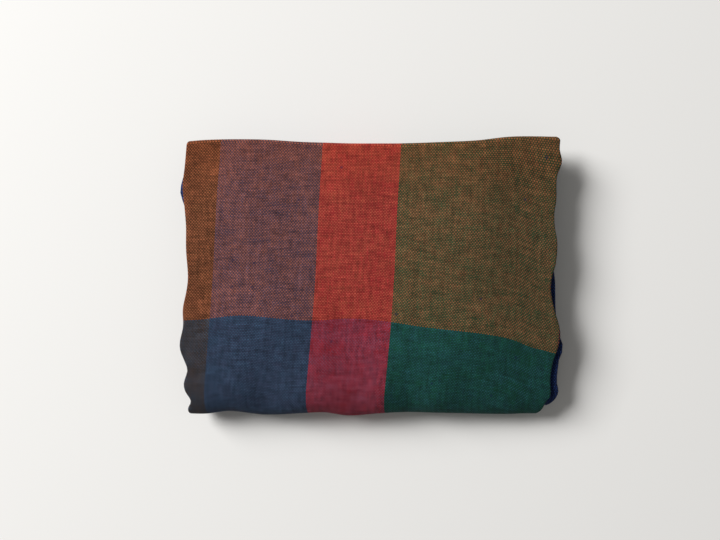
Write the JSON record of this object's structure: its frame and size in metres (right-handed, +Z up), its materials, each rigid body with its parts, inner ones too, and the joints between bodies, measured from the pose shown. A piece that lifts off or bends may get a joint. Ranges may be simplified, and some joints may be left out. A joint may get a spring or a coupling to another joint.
{
  "type": "folded plaid linen cloth",
  "caption": "Plaid linen cloth folded in three across and in eight along, with a wide round front fold, that lies flat on a surface.",
  "frame": {"origin": "on the surface the cloth rests on, under the middle of the folded cloth", "axes": "+Z up, +X to the right across the folded width, +Y to the back, away from the wide front fold"},
  "size_m": [0.2345, 0.1725, 0.0289],
  "materials": {
    "linen": "soft washed plain weave in orange red, madder, green, slate blue and brown, matt with slubs"
  },
  "bodies": {
    "root": {"folded_linen": "linen"}
  },
  "joints": []
}
